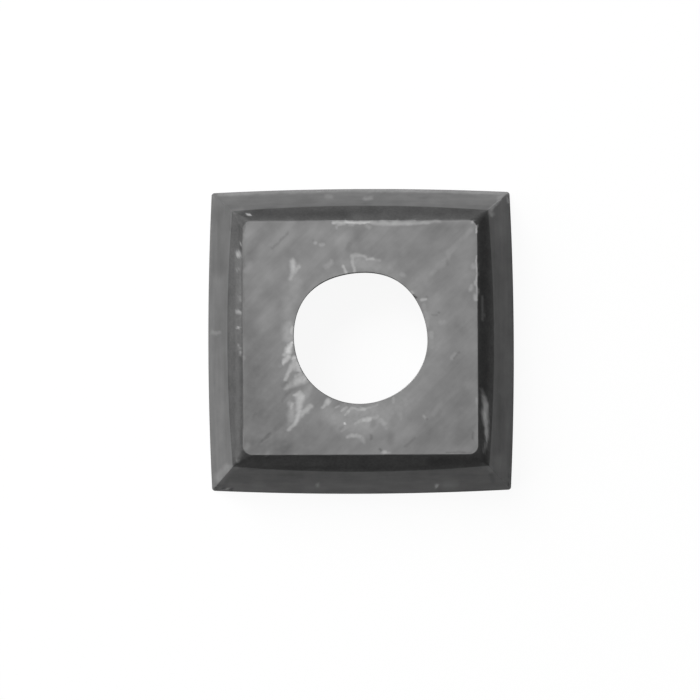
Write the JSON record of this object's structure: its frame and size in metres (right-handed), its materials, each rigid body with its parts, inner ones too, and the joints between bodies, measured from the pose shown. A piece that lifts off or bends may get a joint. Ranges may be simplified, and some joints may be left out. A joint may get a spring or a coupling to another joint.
{
  "type": "reversible knife insert",
  "caption": "Square reversible knife insert with crowned ground cutting edges, two-step relieved flanks and a central screw hole countersunk on its rake face.",
  "frame": {"origin": "on the rake face, where the screw hole's axis crosses it", "axes": "+Z along the screw hole's axis, from the rake face to the seat; +X and +Y each point at the crown of a cutting edge"},
  "size_m": [0.015, 0.015, 0.0025],
  "materials": {
    "carbide": "ground cemented carbide, satin"
  },
  "bodies": {
    "root": {"knife_insert": "carbide"}
  },
  "joints": []
}
